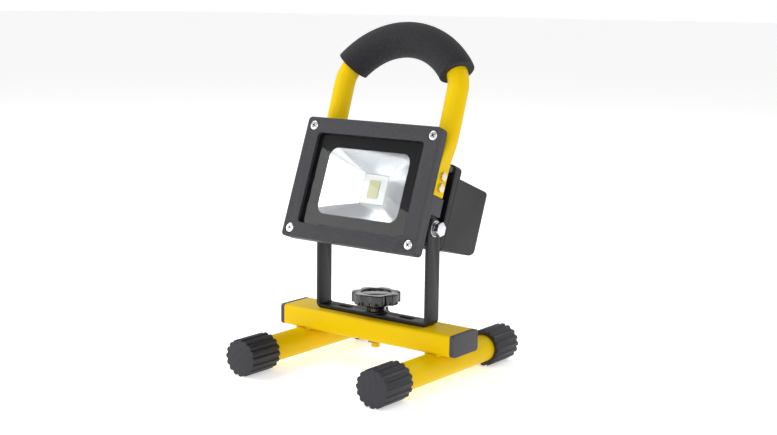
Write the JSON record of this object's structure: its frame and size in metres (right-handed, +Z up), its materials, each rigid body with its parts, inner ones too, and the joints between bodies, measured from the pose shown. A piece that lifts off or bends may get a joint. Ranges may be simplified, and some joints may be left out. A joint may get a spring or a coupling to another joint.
{
  "type": "rechargeable LED work light",
  "caption": "Rechargeable LED work light: tilting lamp head with foam carry handle and rear battery pack, on a steel bracket clamped by a knob to a tubular floor stand with ribbed rubber feet.",
  "frame": {"origin": "on the floor, under the middle of the stand, on the clamp knob's axis", "axes": "+X along the crossbar to the right as seen from in front of the light, +Y from front to back, +Z up; the light shines towards -Y"},
  "size_m": [0.1532, 0.159, 0.2446],
  "materials": {
    "yellow_paint": "smooth yellow powder coat",
    "black_cast": "fine textured dark grey powder coat on die-cast metal",
    "black_steel": "satin black paint on steel strip",
    "zinc": "bright zinc plate",
    "spring_steel": "plain spring steel",
    "yellow_zinc": "yellow passivated zinc plate",
    "brass": "turned brass",
    "mirror_aluminium": "bright anodised sheet",
    "glass": "clear toughened glass with a black printed border",
    "foot_rubber": "ribbed black rubber",
    "seal_rubber": "soft silicone rubber",
    "foam": "closed-cell foam rubber with a matt skin",
    "knob_plastic": "glossy black moulded plastic",
    "cap_plastic": "grained dark grey plastic",
    "case_plastic": "satin black moulded plastic",
    "board_white": "white solder mask",
    "phosphor": "yellow silicone phosphor",
    "board_green": "green circuit board",
    "component_black": "moulded electronic components",
    "cell_wrap": "blue shrink wrap",
    "wire_plastic": "red flexible insulation",
    "button_red": "red moulded push button",
    "lamp_green": "translucent green lamp lens"
  },
  "bodies": {
    "base": {"crossbar": "yellow_paint", "left_bar_cap": "cap_plastic", "right_bar_cap": "cap_plastic", "left_leg": "yellow_paint", "right_leg": "yellow_paint", "frame_welds": "yellow_paint", "front_left_foot": "foot_rubber", "front_right_foot": "foot_rubber", "rear_left_foot": "foot_rubber", "rear_right_foot": "foot_rubber", "clamp_stud": "yellow_paint", "stud_nut": "yellow_paint"},
    "swivel": {"bracket": "black_steel"},
    "washer": {"clamp_washer": "zinc"},
    "knob": {"knob_body": "knob_plastic", "knob_insert": "brass", "knob_cap": "knob_plastic"},
    "head": {"front_frame": "black_cast", "frame_screws": "zinc", "front_glass": "glass", "glass_gasket": "seal_rubber", "reflector": "mirror_aluminium", "led_board": "board_white", "led_phosphor": "phosphor", "thermal_pad": "board_white", "led_wires": "wire_plastic", "wire_grommet": "seal_rubber", "light_housing": "black_cast", "handle_tube": "yellow_paint", "foam_grip": "foam", "handle_screws": "yellow_zinc", "pivot_bolts": "zinc", "flat_washers": "zinc", "spring_washers": "spring_steel", "pack_cover": "black_cast", "pack_gasket": "seal_rubber", "battery_case": "black_cast", "pack_mount_screws": "zinc", "pack_cover_screws": "zinc", "battery_cells": "cell_wrap", "cell_tabs": "zinc", "cell_holders": "component_black", "driver_board": "board_green", "board_parts": "component_black", "board_screws": "zinc", "switch_body": "case_plastic", "switch_nut": "zinc", "switch_spring": "spring_steel", "charge_socket": "component_black", "cover_anchor": "seal_rubber", "charge_lamp": "lamp_green"},
    "button": {"switch_button": "button_red"},
    "flap": {"charge_cover": "seal_rubber"}
  },
  "joints": [
    {"name": "bracket_swivel", "type": "hinge", "parent": "base", "child": "swivel", "pos_m": [0, 0, 0.0378], "axis": [0, 0, 1], "continuous": true},
    {"name": "head_tilt", "type": "hinge", "parent": "swivel", "child": "head", "pos_m": [0, 0, 0.106], "axis": [1, 0, 0], "range_deg": [-39, 45]},
    {"name": "knob_lift", "type": "slide", "parent": "base", "child": "washer", "axis": [0, 0, 1], "range_m": [0, 0.002]},
    {"name": "knob_turn", "type": "hinge", "parent": "washer", "child": "knob", "pos_m": [0, 0, 0.045], "axis": [0, 0, 1], "range_deg": [0, 720]},
    {"name": "switch_press", "type": "slide", "parent": "head", "child": "button", "axis": [0, -0.9354, 0.3535], "range_m": [0, 0.002], "stiffness_N_per_m": 400, "deforming": ["switch_spring"]},
    {"name": "charge_cover_hinge", "type": "hinge", "parent": "head", "child": "flap", "pos_m": [0.0335, 0.06814, 0.09565], "axis": [1, 0, 0], "range_deg": [0, 110]}
  ],
  "couplings": [
    {"joint": "knob_lift", "follows": "knob_turn", "m_per_rad": 0.00015915}
  ]
}
